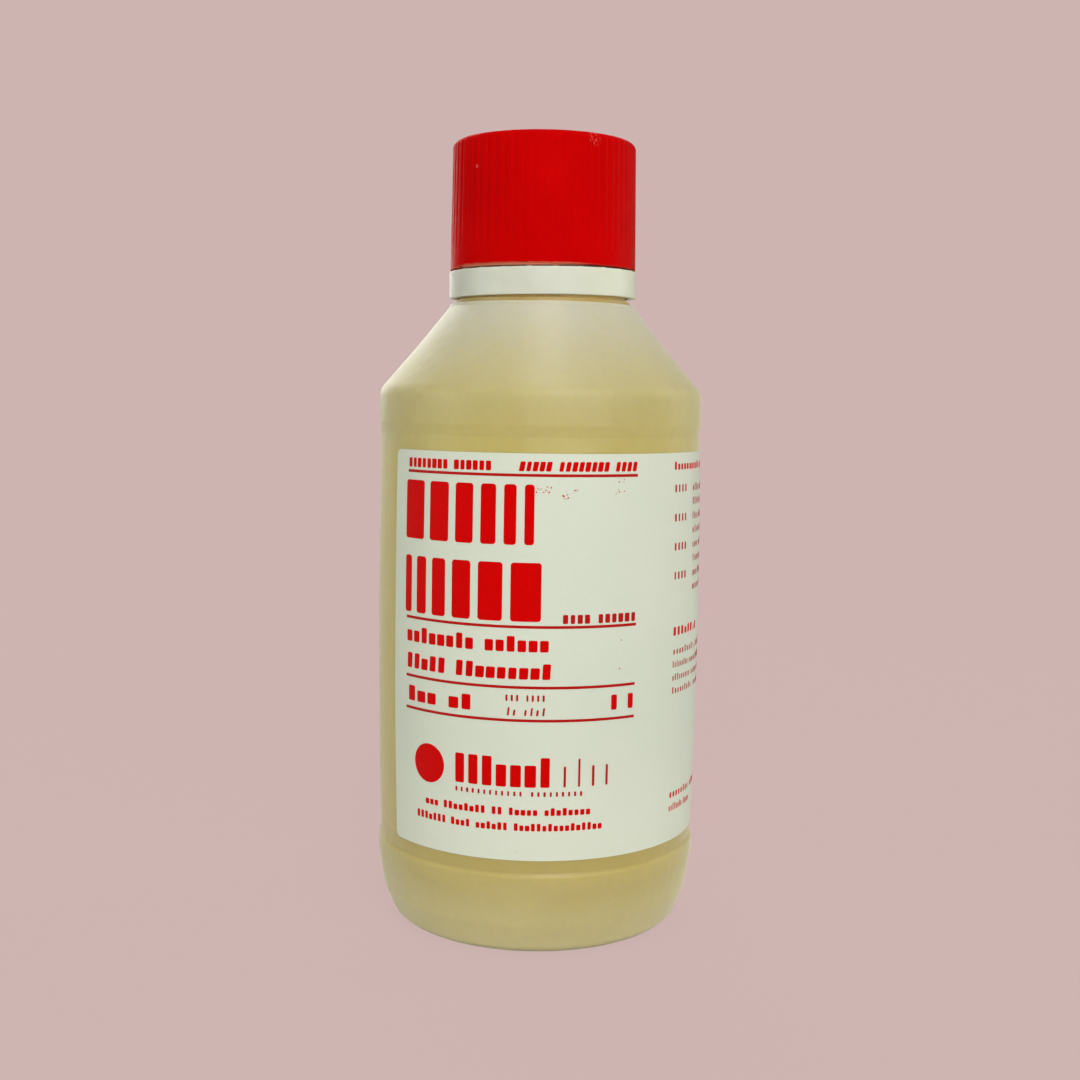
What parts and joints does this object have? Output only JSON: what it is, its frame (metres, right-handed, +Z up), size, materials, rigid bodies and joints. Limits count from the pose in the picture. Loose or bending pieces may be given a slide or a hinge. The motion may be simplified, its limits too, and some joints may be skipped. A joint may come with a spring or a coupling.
{
  "type": "chemical bottle",
  "caption": "Round translucent plastic chemical bottle with a ribbed screw cap, loose tamper ring, sealing wad, wrap-round label and liquid contents.",
  "frame": {"origin": "centre of the base on the standing plane", "axes": "+Z up along the bottle's axis, the front of the label towards -Y, +X to the right seen from the front"},
  "size_m": [0.062, 0.062, 0.1491],
  "materials": {
    "natural_hdpe": "satin, translucent natural polyethylene",
    "developer_liquid": "clear yellow-brown liquid, stands in as a solid",
    "label_paper": "satin coated white label with red print",
    "white_pp": "satin white polypropylene",
    "red_pp": "satin red polypropylene",
    "white_foam": "matt closed-cell foam"
  },
  "bodies": {
    "bottle": {"bottle_body": "natural_hdpe", "developer_liquid": "developer_liquid", "wrap_label": "label_paper"},
    "ring": {"tamper_ring": "white_pp"},
    "wad": {"sealing_wad": "white_foam"},
    "cap": {"screw_cap": "red_pp"}
  },
  "joints": [
    {"name": "cap_rise", "type": "slide", "parent": "bottle", "child": "wad", "axis": [0, 0, 1], "range_m": [0, 0.022]},
    {"name": "cap_turn", "type": "hinge", "parent": "wad", "child": "cap", "pos_m": [0, 0, 0.1255], "axis": [0, 0, 1], "range_deg": [0, 1980]},
    {"name": "ring_turn", "type": "hinge", "parent": "bottle", "child": "ring", "pos_m": [0, 0, 0.12242], "axis": [-0.0122, -0.0105, 0.9999], "continuous": true}
  ],
  "couplings": [
    {"joint": "cap_turn", "follows": "cap_rise", "rad_per_m": 1570.8}
  ]
}
